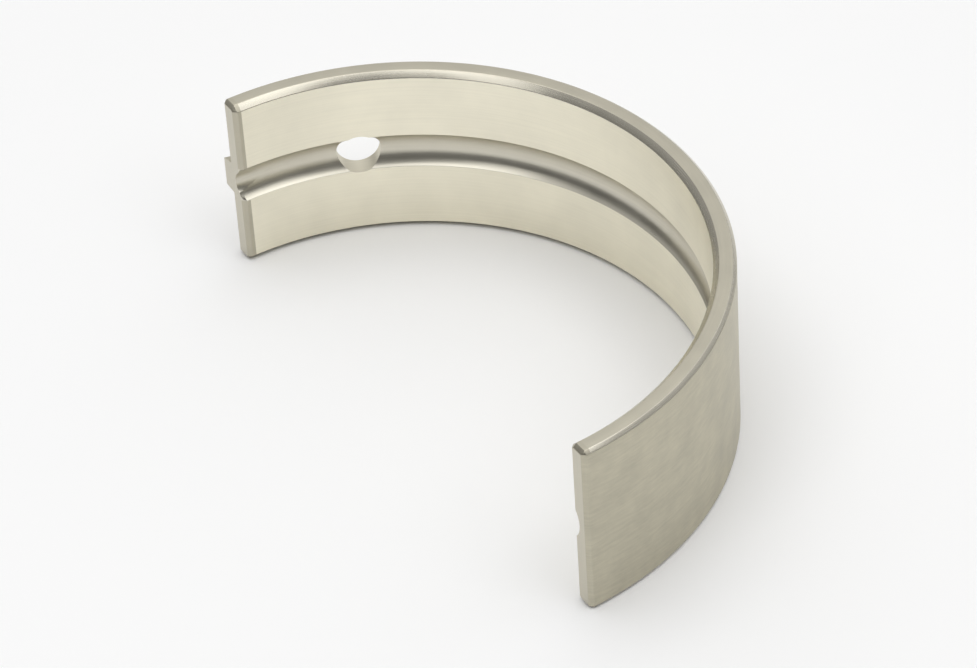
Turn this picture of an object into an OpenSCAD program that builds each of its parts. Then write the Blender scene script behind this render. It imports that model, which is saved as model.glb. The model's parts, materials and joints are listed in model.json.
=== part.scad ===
// Grooved half of a plain engine bearing: a steel-backed shell bent to a half circle.
// The origin is the bearing's centre, on its axis and halfway along its width. The axis
// is Z, and the shell stands on one side face with its crown towards +Y. Its two parting
// faces lie in the plane y = 0 and face -Y.

/* [Shell] */
// Diameter of the running surface
bore_d = 60; // [48:0.5:75]
// Thickness of the wall, lining included
wall_t = 2.25; // [1.8:0.05:3]
// Width of the shell along the bearing axis
shell_w = 19.5; // [17:0.5:26]

/* [Edges] */
// Chamfer along the two inner side edges
inner_chamfer = 0.6; // [0.3:0.05:0.8]
// Chamfer along the two outer side edges
outer_chamfer = 0.35; // [0.2:0.05:0.6]
// Chamfer round the edges of each parting face
parting_chamfer = 0.4; // [0.2:0.05:0.6]

/* [Oil groove] */
// Width of the groove that runs round the middle of the bore
groove_w = 4; // [3:0.1:5]
// Depth of the groove below the running surface, at its middle
groove_depth = 1; // [0.7:0.05:1.2]

/* [Oil hole] */
// Diameter of the hole from the back into the groove
hole_d = 4.5; // [3:0.1:6]
// Angle round the axis from the tang's parting face to the hole
hole_angle = 24; // [18:1:90]
// Chamfer where the hole opens on the back
hole_chamfer = 0.25; // [0.1:0.05:0.4]

/* [Locating tang] */
// Width of the tang along the bearing axis
tang_w = 3.6; // [3:0.1:4.5]
// Length of the tang up from the parting face
tang_len = 4.5; // [3:0.1:6]
// Height of the tang above the back, at the parting face
tang_h = 1; // [0.6:0.05:1.3]
// Depth of the dent that pressing the tang leaves in the groove's floor
dent_depth = 0.25; // [0.2:0.05:0.7]
// Length of that dent up from the parting face
dent_len = 3; // [2:0.1:4]
// How much narrower the dent is than the tang, on each side
dent_inset = 0.2; // [0.1:0.05:0.4]

/* [Hidden] */
$fn = 180;
bore_r = bore_d / 2;
back_r = bore_r + wall_t;
side_z = shell_w / 2;
floor_r = bore_r + groove_depth;
groove_r = (pow(groove_w / 2, 2) + pow(groove_depth, 2)) / (2 * groove_depth);
dent_r = tang_w / 2 - dent_inset;
// Length by which a cut runs past the surface that it opens on
over = 1;
// Length of a ramp's line as a share of its length up to the surface that it meets
ramp_run = 1.3;
steel = [0.78, 0.76, 0.70];

// A right-angled corner cut with legs of the given length, centred on the corner
module corner_cut(leg) {
    rotate(45) square(leg * sqrt(2), center = true);
}

// Section of the wall, with x as the distance from the bearing axis and y as the height.
// The oil groove is a round cut, as wide and as deep as stated.
module wall_section() {
    difference() {
        translate([bore_r, -side_z]) square([wall_t, shell_w]);
        for (z = [-side_z, side_z]) {
            translate([bore_r, z]) corner_cut(inner_chamfer);
            translate([back_r, z]) corner_cut(outer_chamfer);
        }
        translate([floor_r - groove_r, 0]) circle(groove_r);
    }
}

// The edges of both parting faces, cut back along the bore, the back and the two sides
module parting_edge_cuts() {
    for (r = [bore_r, back_r], side = [-1, 1])
        translate([side * r, 0, 0])
            linear_extrude(shell_w + 2 * over, center = true) corner_cut(parting_chamfer);
    for (z = [-side_z, side_z])
        translate([0, 0, z]) rotate([90, 0, 90])
            linear_extrude(2 * back_r + 2 * over, center = true) corner_cut(parting_chamfer);
}

// Half ring between the two parting faces
module half_ring() {
    difference() {
        rotate_extrude(angle = 180) wall_section();
        parting_edge_cuts();
    }
}

// Where a straight ramp from the -X parting face meets the circle of radius r, at that height
function ramp_top(r, height) = [-sqrt(r * r - height * height), height];

// Tang pressed out of the wall in line with the groove, flush with the parting face
module tang() {
    foot = [-back_r - tang_h, 0];
    tip = foot + ramp_run * (ramp_top(back_r, tang_len) - foot);
    linear_extrude(tang_w, center = true) polygon([foot, tip, [tip.x, 0]]);
}

// Round dent behind the tang, which rises from the parting face to the groove's floor
module tang_dent() {
    foot = [-floor_r - dent_depth, 0];
    rise = ramp_top(floor_r, dent_len) - foot;
    translate(foot) rotate(-atan2(rise.x, rise.y)) translate([dent_r, -over, 0])
        rotate([-90, 0, 0]) cylinder(r = dent_r, h = over + ramp_run * norm(rise));
}

// Oil hole through the groove's floor, along the radius at its angle
module oil_hole() {
    rotate([0, 0, -hole_angle]) translate([-back_r, 0, 0]) rotate([0, 90, 0]) {
        translate([0, 0, -over]) cylinder(d = hole_d, h = wall_t + 2 * over);
        translate([0, 0, -hole_chamfer])
            cylinder(r1 = hole_d / 2 + 2 * hole_chamfer, r2 = hole_d / 2, h = 2 * hole_chamfer);
    }
}

module bearing_shell() {
    color(steel)
        difference() {
            union() {
                half_ring();
                tang();
            }
            tang_dent();
            oil_hole();
        }
}

bearing_shell();
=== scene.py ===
"""Looks, light and camera for the half shell of a plain engine bearing.

The shell is swept from its wall section, so that every edge has the small round that catches the light.
It keeps the form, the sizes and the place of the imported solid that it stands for.
"""

import json
import math

import bmesh
import bpy
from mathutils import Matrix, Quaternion, Vector


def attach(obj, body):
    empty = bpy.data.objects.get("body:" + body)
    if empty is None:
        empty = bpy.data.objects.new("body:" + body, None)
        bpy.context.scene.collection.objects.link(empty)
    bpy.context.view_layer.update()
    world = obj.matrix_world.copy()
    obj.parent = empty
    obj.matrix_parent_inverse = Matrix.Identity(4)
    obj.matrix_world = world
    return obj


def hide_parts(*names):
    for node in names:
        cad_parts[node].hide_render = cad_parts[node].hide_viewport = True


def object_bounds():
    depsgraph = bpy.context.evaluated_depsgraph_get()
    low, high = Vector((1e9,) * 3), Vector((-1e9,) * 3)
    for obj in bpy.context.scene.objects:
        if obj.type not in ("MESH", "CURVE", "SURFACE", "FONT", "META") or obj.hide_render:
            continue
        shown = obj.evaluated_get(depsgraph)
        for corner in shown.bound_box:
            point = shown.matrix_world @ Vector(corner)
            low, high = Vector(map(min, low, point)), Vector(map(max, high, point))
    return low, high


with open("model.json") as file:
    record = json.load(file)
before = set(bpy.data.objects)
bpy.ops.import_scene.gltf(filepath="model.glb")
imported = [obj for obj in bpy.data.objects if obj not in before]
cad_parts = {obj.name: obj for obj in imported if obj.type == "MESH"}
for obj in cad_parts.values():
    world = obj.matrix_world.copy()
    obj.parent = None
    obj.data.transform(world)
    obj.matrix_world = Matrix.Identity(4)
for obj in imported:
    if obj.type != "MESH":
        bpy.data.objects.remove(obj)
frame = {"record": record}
cad_low, cad_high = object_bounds()

MM = 0.001
NODE = "bearing_shell"
mounts = {mount["name"]: mount for mount in frame["record"]["mounts"]}

# Sizes that the frame gives, in metres, and the direction of the oil hole
bore_r = mounts["journal_bore"]["dims"]["r_mm"] * MM
back_r = mounts["housing_seat"]["dims"]["r_mm"] * MM
hole_r = mounts["oil_hole"]["dims"]["r_mm"] * MM
hole_axis = Vector(mounts["oil_hole"]["axis"])
side_z = cad_high.z
tang_r = -cad_low.x

# Sizes repeated from the model, in metres
INNER_CHAMFER = 0.6 * MM
OUTER_CHAMFER = 0.35 * MM
PARTING_CHAMFER = 0.4 * MM
GROOVE_HALF_WIDTH = 2.0 * MM
GROOVE_DEPTH = 1.0 * MM
HOLE_CHAMFER = 0.25 * MM
TANG_HALF_WIDTH = 1.8 * MM
TANG_LENGTH = 4.5 * MM
DENT_DEPTH = 0.25 * MM
DENT_LENGTH = 3.0 * MM
DENT_R = 1.6 * MM

# Length of the dent's line as a share of its length up to the groove's floor, also from the model
RAMP_RUN = 1.3

# Radius of the groove's floor round the bearing's axis, and of its round section
floor_r = bore_r + GROOVE_DEPTH
groove_r = (GROOVE_HALF_WIDTH**2 + GROOVE_DEPTH**2) / (2 * GROOVE_DEPTH)

# Rounds on the edges, on the groove's lips, in the oil hole's mouth and on the tang's flanks
EDGE_ROUND = 0.12 * MM
LIP_ROUND = 0.04 * MM
MOUTH_ROUND = 0.08 * MM
PRESSED_ROUND = 0.15 * MM

# How finely the surfaces are divided
ROUND_STEP = math.radians(12)
SWEEP_STEPS = 240
GROOVE_STEPS = 28
FLANK_STEPS = 2
TURN_STEPS = 96

# The angle from which an edge is shaded as a sharp one, and the distance below which points are joined
SHARP_ANGLE = math.radians(34)
WELD_DISTANCE = 0.001 * MM

# The range that most of a noise's values lie in, how rough its finer layers are, and the stains' detail
NOISE_LOW = 0.3
NOISE_HIGH = 0.7
NOISE_ROUGHNESS = 0.6
STAIN_DETAIL = 3


def add(tree, kind, **values):
    """A new shader node. A value goes to the input of that name, or else to the node's own setting."""
    made = tree.nodes.new("ShaderNode" + kind)
    for name, value in values.items():
        socket = made.inputs.get(name.replace("_", " "))
        if socket is not None:
            socket.default_value = value
        else:
            setattr(made, name, value)
    return made


def maths(tree, operation, a, b):
    """A Math node's result. Each operand is a socket or a number."""
    made = add(tree, "Math", operation=operation)
    for socket, value in zip(made.inputs, (a, b)):
        if isinstance(value, (int, float)):
            socket.default_value = value
        else:
            tree.links.new(value, socket)
    return made.outputs[0]


def average(tree, a, b):
    """The mean of two sockets."""
    return maths(tree, "MULTIPLY", maths(tree, "ADD", a, b), 0.5)


def ring_coordinates(tree):
    """Sockets with the length round the bore, the distance from the axis and the height."""
    place = add(tree, "TexCoord").outputs["Object"]
    split = add(tree, "SeparateXYZ")
    tree.links.new(place, split.inputs[0])
    x, y, z = split.outputs
    squares = maths(tree, "ADD", maths(tree, "MULTIPLY", x, x), maths(tree, "MULTIPLY", y, y))
    around = maths(tree, "MULTIPLY", maths(tree, "ARCTAN2", y, x), bore_r)
    return around, maths(tree, "POWER", squares, 0.5), z


def stretched_noise(tree, along, across, length, width, detail, seed):
    """Noise drawn out into lines: length along one coordinate, width across another."""
    joined = add(tree, "CombineXYZ", Z=seed)
    tree.links.new(maths(tree, "DIVIDE", along, length), joined.inputs["X"])
    tree.links.new(maths(tree, "DIVIDE", across, width), joined.inputs["Y"])
    noise = add(tree, "TexNoise", Scale=1.0, Detail=detail, Roughness=NOISE_ROUGHNESS)
    tree.links.new(joined.outputs[0], noise.inputs["Vector"])
    return noise.outputs["Fac"]


def stains(tree, size):
    """Even noise over the object, with patches of about that size."""
    place = add(tree, "TexCoord").outputs["Object"]
    noise = add(tree, "TexNoise", Scale=1 / size, Detail=STAIN_DETAIL, Roughness=NOISE_ROUGHNESS)
    tree.links.new(place, noise.inputs["Vector"])
    return noise.outputs["Fac"]


def spread(tree, value, low, high):
    """Noise taken to the range low to high."""
    made = add(tree, "MapRange", From_Min=NOISE_LOW, From_Max=NOISE_HIGH, To_Min=low, To_Max=high)
    tree.links.new(value, made.inputs["Value"])
    return made.outputs["Result"]


def tint(tree, value, colour, swing):
    """A colour that noise makes darker or lighter by up to that share."""
    ramp = add(tree, "ValToRGB")
    dark, light = ramp.color_ramp.elements
    for element, position, gain in ((dark, NOISE_LOW, 1 - swing), (light, NOISE_HIGH, 1 + swing)):
        element.position = position
        element.color = (*[channel * gain for channel in colour], 1)
    tree.links.new(value, ramp.inputs["Fac"])
    return ramp.outputs["Color"]


def bored_lines(tree):
    """Fine lines round the bore, over faint bands along it that are painted reflection: broad soft light
    and shade.
    """
    around, _, height = ring_coordinates(tree)
    lines = stretched_noise(tree, around, height, length=18 * MM, width=0.22 * MM, detail=4, seed=1.0)
    # Painted reflection: broad bands of light and shade along the bore
    bands = stretched_noise(tree, height, around, length=60 * MM, width=12 * MM, detail=4, seed=6.0)
    return average(tree, lines, bands)


def turned_lines(tree):
    """Lines along the groove, which run at a slant round the wall of the oil hole."""
    around, away, height = ring_coordinates(tree)
    across = maths(tree, "ADD", height, away)
    return stretched_noise(tree, around, across, length=25 * MM, width=0.3 * MM, detail=3, seed=2.0)


def faced_lines(tree):
    """Fine arcs along the side faces and their chamfers."""
    around, away, _ = ring_coordinates(tree)
    return stretched_noise(tree, around, away, length=9 * MM, width=0.12 * MM, detail=3, seed=3.0)


def rolled_lines(tree):
    """Short strokes along the strip that the shell is bent from."""
    around, _, height = ring_coordinates(tree)
    return stretched_noise(tree, around, height, length=2.0 * MM, width=0.3 * MM, detail=5, seed=4.0)


def broached_lines(tree):
    """Fine straight lines along the height of the parting faces and their bevels."""
    _, away, height = ring_coordinates(tree)
    return stretched_noise(tree, height, away, length=6 * MM, width=0.1 * MM, detail=3, seed=5.0)


def metal(name, colour, swing, rough, lines, depth, patch):
    """A machined metal: tool marks, which on the lining carry bands of painted reflection, and faint
    stains vary its colour and gloss, and the marks its bump.

    The values after the name come in the order that LOOKS gives them.
    """
    material = bpy.data.materials.new(name)
    material.use_nodes = True
    tree = material.node_tree
    shader = tree.nodes["Principled BSDF"]
    shader.inputs["Metallic"].default_value = 1.0
    marks = lines(tree)
    blend = average(tree, marks, stains(tree, patch))
    tree.links.new(tint(tree, blend, colour, swing), shader.inputs["Base Color"])
    tree.links.new(spread(tree, blend, *rough), shader.inputs["Roughness"])
    bump = add(tree, "Bump", Strength=1.0, Distance=depth)
    tree.links.new(marks, bump.inputs["Height"])
    tree.links.new(bump.outputs[0], shader.inputs["Normal"])
    return material


# Each finish: its colour, the share by which that varies, the ends of its roughness, the function that
# draws its tool marks (for the lining also bands of painted reflection), how deep those are, and the size
# of its stains
LOOKS = {
    "lining": ((0.87, 0.83, 0.69), 0.10, (0.30, 0.40), bored_lines, 0.004 * MM, 9 * MM),
    "groove": ((0.64, 0.61, 0.52), 0.08, (0.26, 0.36), turned_lines, 0.004 * MM, 6 * MM),
    "edge": ((0.62, 0.59, 0.50), 0.06, (0.22, 0.30), faced_lines, 0.003 * MM, 5 * MM),
    "side": ((0.53, 0.50, 0.41), 0.08, (0.34, 0.46), faced_lines, 0.005 * MM, 5 * MM),
    "back": ((0.53, 0.50, 0.40), 0.16, (0.40, 0.54), rolled_lines, 0.006 * MM, 3 * MM),
    "parting": ((0.58, 0.55, 0.46), 0.08, (0.32, 0.44), broached_lines, 0.005 * MM, 4 * MM),
    # The bevel finish is the parting finish painted darker: painted shade on the bevels
    "bevel": ((0.50, 0.47, 0.38), 0.08, (0.32, 0.44), broached_lines, 0.005 * MM, 3 * MM),
    # The drilled finish is freshly drilled metal, made paler still as painted light on the oil hole's
    # shaded wall
    "drilled": ((0.70, 0.66, 0.54), 0.08, (0.36, 0.46), turned_lines, 0.005 * MM, 4 * MM),
}
FINISHES = list(LOOKS)
materials = [metal(name, *look) for name, look in LOOKS.items()]


def rounded_path(corners):
    """Points along an open path of (x, y, radius, finish) corners.

    Each point comes with the finish of the stretch that follows it.
    """
    points = []
    for i, (x, y, radius, finish) in enumerate(corners):
        here = Vector((x, y))
        if radius == 0:
            points.append((here, finish))
            continue
        before = (Vector(corners[i - 1][:2]) - here).normalized()
        after = (Vector(corners[i + 1][:2]) - here).normalized()
        half = before.angle(after) / 2
        reach = radius / math.tan(half)
        centre = here + (before + after).normalized() * (radius / math.sin(half))
        start = here + before * reach - centre
        end = here + after * reach - centre
        steps = max(2, round(start.angle(end) / ROUND_STEP))
        for k in range(steps + 1):
            arm = start.lerp(end, k / steps).normalized() * radius
            points.append((centre + arm, finish))
    return points


def groove_corners():
    """The round floor of the oil groove, from its lower lip to its upper one."""
    reach = math.asin(GROOVE_HALF_WIDTH / groove_r)
    corners = []
    for k in range(GROOVE_STEPS + 1):
        angle = reach * (2 * k / GROOVE_STEPS - 1)
        r = floor_r - groove_r * (1 - math.cos(angle))
        on_lip = k in (0, GROOVE_STEPS)
        finish = "lining" if k == GROOVE_STEPS else "groove"
        corners.append((r, groove_r * math.sin(angle), LIP_ROUND if on_lip else 0, finish))
    return corners


def flank_levels():
    """Heights of the points over the rounds of the tang's two flanks, from the top down."""
    offsets = [PRESSED_ROUND * k / FLANK_STEPS for k in range(-FLANK_STEPS, FLANK_STEPS + 1)]
    levels = [side * TANG_HALF_WIDTH + offset for side in (-1, 1) for offset in offsets]
    return sorted(levels, reverse=True)


def wall_section():
    """The closed section of the wall: (distance from the axis, height) points with their finishes."""
    land_z = side_z - INNER_CHAMFER
    back_z = side_z - OUTER_CHAMFER
    corners = [
        (back_r, 0, 0, "back"),
        *[(back_r, z, 0, "back") for z in flank_levels() if z < 0],
        (back_r, -back_z, EDGE_ROUND, "edge"),
        (back_r - OUTER_CHAMFER, -side_z, EDGE_ROUND, "side"),
        (bore_r + INNER_CHAMFER, -side_z, EDGE_ROUND, "edge"),
        (bore_r, -land_z, EDGE_ROUND, "lining"),
        *groove_corners(),
        (bore_r, land_z, EDGE_ROUND, "edge"),
        (bore_r + INNER_CHAMFER, side_z, EDGE_ROUND, "side"),
        (back_r - OUTER_CHAMFER, side_z, EDGE_ROUND, "edge"),
        (back_r, back_z, EDGE_ROUND, "back"),
        *[(back_r, z, 0, "back") for z in flank_levels() if z > 0],
    ]
    return rounded_path(corners)


def pressed_share(z):
    """How far a point at height z takes part in the tang, from 0 to 1, with a soft step at each flank."""
    inside = (TANG_HALF_WIDTH - abs(z)) / PRESSED_ROUND
    t = min(max((inside + 1) / 2, 0), 1)
    return t * t * (3 - 2 * t)


def ramp_top(r, height):
    """Where a straight ramp from the -X parting face meets the circle of radius r, at that height."""
    return Vector((-math.sqrt(r * r - height * height), height))


tang_foot = Vector((-tang_r, 0))
tang_rise = ramp_top(back_r, TANG_LENGTH) - tang_foot


def at_angle(angle):
    """Places points on the half plane at an angle round the axis from +X."""
    along = Vector((math.cos(angle), math.sin(angle)))

    def place(r):
        return along * r

    def on_tang():
        return along * (tang_foot.cross(tang_rise) / along.cross(tang_rise))

    return place, on_tang


def at_height(y, side):
    """Places points on the plane at height y above the parting faces, at the end on that side."""

    def place(r):
        return Vector((side * math.sqrt(r * r - y * y), y))

    def on_tang():
        return tang_foot + tang_rise * (y / tang_rise.y)

    return place, on_tang


def on_ring(point, finish, inset, places):
    """A section point on one ring of the sweep. inset is how far the parting face's bevel has cut in."""
    place, on_tang = places
    r = min(max(point.x, bore_r + inset), back_r - inset)
    z = min(max(point.y, inset - side_z), side_z - inset)
    flat = place(r)
    if finish == "back" and flat.x < 0 and flat.y < TANG_LENGTH:
        flat = flat.lerp(on_tang(), pressed_share(point.y))
    return Vector((flat.x, flat.y, z))


def end_rings(side):
    """The rings over a parting face's bevel, from the wall to the face, as (inset, places) pairs."""
    # The first and the last corner only give the rounds their directions, so no ring is made of them
    far = 3 * PARTING_CHAMFER
    corners = [
        (0, far, 0, None),
        (0, PARTING_CHAMFER, EDGE_ROUND, None),
        (PARTING_CHAMFER, 0, EDGE_ROUND, None),
        (far, 0, 0, None),
    ]
    path = [point for point, _ in rounded_path(corners)][1:-1]
    return [(point.x, at_height(point.y, side)) for point in path]


def sweep_rings():
    """All rings from the +X parting face round to the -X one, as (inset, places) pairs."""
    # The even turn begins clear of the bevels, at twice their height above the parting faces
    first = math.asin(2 * PARTING_CHAMFER / bore_r)
    turn = [first + (math.pi - 2 * first) * k / SWEEP_STEPS for k in range(SWEEP_STEPS + 1)]
    start = list(reversed(end_rings(1)))
    return start + [(0, at_angle(angle)) for angle in turn] + end_rings(-1)


def new_object(name, data):
    """A new object with that data, in the scene."""
    made = bpy.data.objects.new(name, data)
    bpy.context.scene.collection.objects.link(made)
    return made


def mesh_object(bm, name):
    """A new object from a bmesh, with a material slot for each finish."""
    bmesh.ops.recalc_face_normals(bm, faces=bm.faces)
    mesh = bpy.data.meshes.new(name)
    bm.to_mesh(mesh)
    bm.free()
    for material in materials:
        mesh.materials.append(material)
    return new_object(name, mesh)


def swept_shell():
    """The shell without its oil hole and dent."""
    section = wall_section()
    rings = sweep_rings()
    bm = bmesh.new()
    rows = [
        [bm.verts.new(on_ring(point, finish, inset, places)) for point, finish in section]
        for inset, places in rings
    ]
    for k, (row, after) in enumerate(zip(rows, rows[1:])):
        bevelled = rings[k][0] + rings[k + 1][0] > 0
        for i, (_, finish) in enumerate(section):
            j = (i + 1) % len(section)
            face = bm.faces.new((row[i], row[j], after[j], after[i]))
            # Over the bevels the faces take the bevel finish, which is painted darker as shade; the groove
            # and the back keep their own finish there
            cut_back = bevelled and finish not in ("groove", "back")
            face.material_index = FINISHES.index("bevel" if cut_back else finish)
    for row in (rows[0], rows[-1]):
        face = bm.faces.new(row)
        face.material_index = FINISHES.index("parting")
    return mesh_object(bm, "bearing_shell_finished")


def turned_cutter(profile, start, axis, finish):
    """A solid turned from (radius, distance) points along an axis that begins at start."""
    turned = axis.to_track_quat("Z", "Y").to_matrix()
    angles = [2 * math.pi * k / TURN_STEPS for k in range(TURN_STEPS)]
    bm = bmesh.new()
    rings = []
    for radius, distance in profile:
        circle = [Vector((radius * math.cos(a), radius * math.sin(a), distance)) for a in angles]
        rings.append([bm.verts.new(start + turned @ point) for point in circle])
    for ring, after in zip(rings, rings[1:]):
        for k in range(TURN_STEPS):
            j = (k + 1) % TURN_STEPS
            bm.faces.new((ring[k], ring[j], after[j], after[k]))
    bm.faces.new(rings[0])
    bm.faces.new(rings[-1])
    for face in bm.faces:
        face.material_index = FINISHES.index(finish)
    return mesh_object(bm, "cutter")


def hole_cutter():
    """A plug from inside the bore to outside the back, with the chamfer where the oil hole opens there."""
    corners = [
        (hole_r, bore_r - GROOVE_DEPTH, 0, None),
        (hole_r, back_r - HOLE_CHAMFER, MOUTH_ROUND, None),
        (hole_r + 2 * HOLE_CHAMFER, back_r + HOLE_CHAMFER, 0, None),
    ]
    profile = [(point.x, point.y) for point, _ in rounded_path(corners)]
    return turned_cutter(profile, Vector((0, 0, 0)), hole_axis, "drilled")


def dent_cutter():
    """A round bar along the dent, which rises from the -X parting face to the groove's floor."""
    foot = Vector((-floor_r - DENT_DEPTH, 0))
    rise = ramp_top(floor_r, DENT_LENGTH) - foot
    inward = Vector((rise.y, -rise.x)).normalized()
    # The bar begins one rise before the parting face, so that it cuts right through it
    start = foot + inward * DENT_R - rise
    profile = [(DENT_R, 0), (DENT_R, (1 + RAMP_RUN) * rise.length)]
    return turned_cutter(profile, start.to_3d(), rise.to_3d(), "groove")


def evaluated_mesh(piece):
    """A new mesh with the piece's modifiers applied, and the piece cleared of them."""
    graph = bpy.context.evaluated_depsgraph_get()
    mesh = bpy.data.meshes.new_from_object(piece.evaluated_get(graph))
    piece.modifiers.clear()
    return mesh


def weld(mesh):
    """Joins the points that cuts leave on top of each other, and drops the faces that have no area."""
    bm = bmesh.new()
    bm.from_mesh(mesh)
    bmesh.ops.remove_doubles(bm, verts=bm.verts, dist=WELD_DISTANCE)
    bmesh.ops.dissolve_degenerate(bm, edges=bm.edges, dist=WELD_DISTANCE)
    bm.to_mesh(mesh)
    bm.free()


def finished_shell():
    """The shell with its oil hole and dent, and with flat faces that stay flat between the rounds."""
    piece = swept_shell()
    cutters = [hole_cutter(), dent_cutter()]
    for cutter in cutters:
        cut = piece.modifiers.new("cut", "BOOLEAN")
        cut.operation = "DIFFERENCE"
        cut.solver = "EXACT"
        cut.object = cutter
    cut_mesh = evaluated_mesh(piece)
    for cutter in cutters:
        bpy.data.objects.remove(cutter)
    weld(cut_mesh)
    piece.data = cut_mesh
    cut_mesh.shade_smooth()
    cut_mesh.set_sharp_from_angle(angle=SHARP_ANGLE)
    weighted = piece.modifiers.new("weighted", "WEIGHTED_NORMAL")
    weighted.keep_sharp = True
    piece.data = evaluated_mesh(piece)
    piece.data.name = piece.name
    return piece


shell = finished_shell()
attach(shell, "root")
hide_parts(NODE)

# The floor's half size in metres, and its colour
FLOOR_HALF = 3.0
FLOOR_COLOUR = (0.95, 0.95, 0.95, 1)

# The dome's brightest direction, the cosines to it between which its light rises, and its two levels
DOME_TOP = Vector((-0.35, 0.35, 0.87)).normalized()
DOME_DIM_COSINE = 0.1
DOME_BRIGHT_COSINE = 0.8
DOME_DIM_LEVEL = 0.12
DOME_BRIGHT_LEVEL = 0.8

# The point that the camera looks at, where it stands as seen from there, and how far it leans
AIM = Vector((-0.4, 10.0, -3.8)) * MM
VIEW_AZIMUTH = math.radians(59.9)
VIEW_ELEVATION = math.radians(40.6)
VIEW_DISTANCE = 462.5 * MM
VIEW_ROLL = math.radians(-3.9)
LENS_MM = 176.0
SENSOR_MM = 36.0
NEAR_CLIP = 10 * MM


def floor_plane():
    """A plain pale floor under the shell."""
    corners = [
        (FLOOR_HALF * x, FLOOR_HALF * y, cad_low.z)
        for x, y in ((-1, -1), (1, -1), (1, 1), (-1, 1))
    ]
    mesh = bpy.data.meshes.new("floor")
    mesh.from_pydata(corners, [], [(0, 1, 2, 3)])
    material = bpy.data.materials.new("pale_floor")
    material.use_nodes = True
    shader = material.node_tree.nodes["Principled BSDF"]
    shader.inputs["Base Color"].default_value = FLOOR_COLOUR
    shader.inputs["Roughness"].default_value = 0.9
    shader.inputs["Specular IOR Level"].default_value = 0.1
    mesh.materials.append(material)
    floor = new_object("floor", mesh)


def dome():
    """A plain white dome, brightest above and behind the shell and dim near the horizon in front."""
    world = bpy.data.worlds.new("dome")
    world.use_nodes = True
    bpy.context.scene.world = world
    tree = world.node_tree
    cosine = add(tree, "VectorMath", operation="DOT_PRODUCT")
    cosine.inputs[1].default_value = DOME_TOP
    tree.links.new(add(tree, "TexCoord").outputs["Generated"], cosine.inputs[0])
    level = add(
        tree,
        "MapRange",
        interpolation_type="SMOOTHSTEP",
        From_Min=DOME_DIM_COSINE,
        From_Max=DOME_BRIGHT_COSINE,
        To_Min=DOME_DIM_LEVEL,
        To_Max=DOME_BRIGHT_LEVEL,
    )
    tree.links.new(cosine.outputs["Value"], level.inputs["Value"])
    background = tree.nodes["Background"]
    background.inputs["Color"].default_value = (1, 1, 1, 1)
    tree.links.new(level.outputs["Result"], background.inputs["Strength"])


def soft_light(name, place, wide, high, watts):
    """A soft box, turned towards the shell. Its place and sides are in metres."""
    data = bpy.data.lights.new(name, "AREA")
    data.shape = "RECTANGLE"
    data.size = wide
    data.size_y = high
    data.energy = watts
    light = new_object(name, data)
    light.location = place
    light.rotation_mode = "QUATERNION"
    light.rotation_quaternion = (-Vector(place)).to_track_quat("-Z", "Y")


def camera():
    """A camera at the photograph's viewing angle and distance."""
    level = math.cos(VIEW_ELEVATION)
    x = math.sin(VIEW_AZIMUTH) * level
    y = -math.cos(VIEW_AZIMUTH) * level
    back = Vector((x, y, math.sin(VIEW_ELEVATION)))
    data = bpy.data.cameras.new("camera")
    data.lens = LENS_MM
    data.sensor_width = SENSOR_MM
    data.clip_start = NEAR_CLIP
    made = new_object("camera", data)
    made.location = AIM + back * VIEW_DISTANCE
    made.rotation_mode = "QUATERNION"
    made.rotation_quaternion = (-back).to_track_quat("-Z", "Y") @ Quaternion((0, 0, 1), VIEW_ROLL)
    bpy.context.scene.camera = made


floor_plane()
dome()
soft_light("right", place=(0.58, 0.21, 0.79), wide=0.45, high=0.57, watts=0.93)
soft_light("left", place=(0.17, -0.62, 0.77), wide=0.38, high=0.57, watts=0.79)
soft_light("overhead", place=(0, 0, 1), wide=1.1, high=1.1, watts=4.2)
camera()
bpy.context.scene.view_settings.view_transform = "Standard"
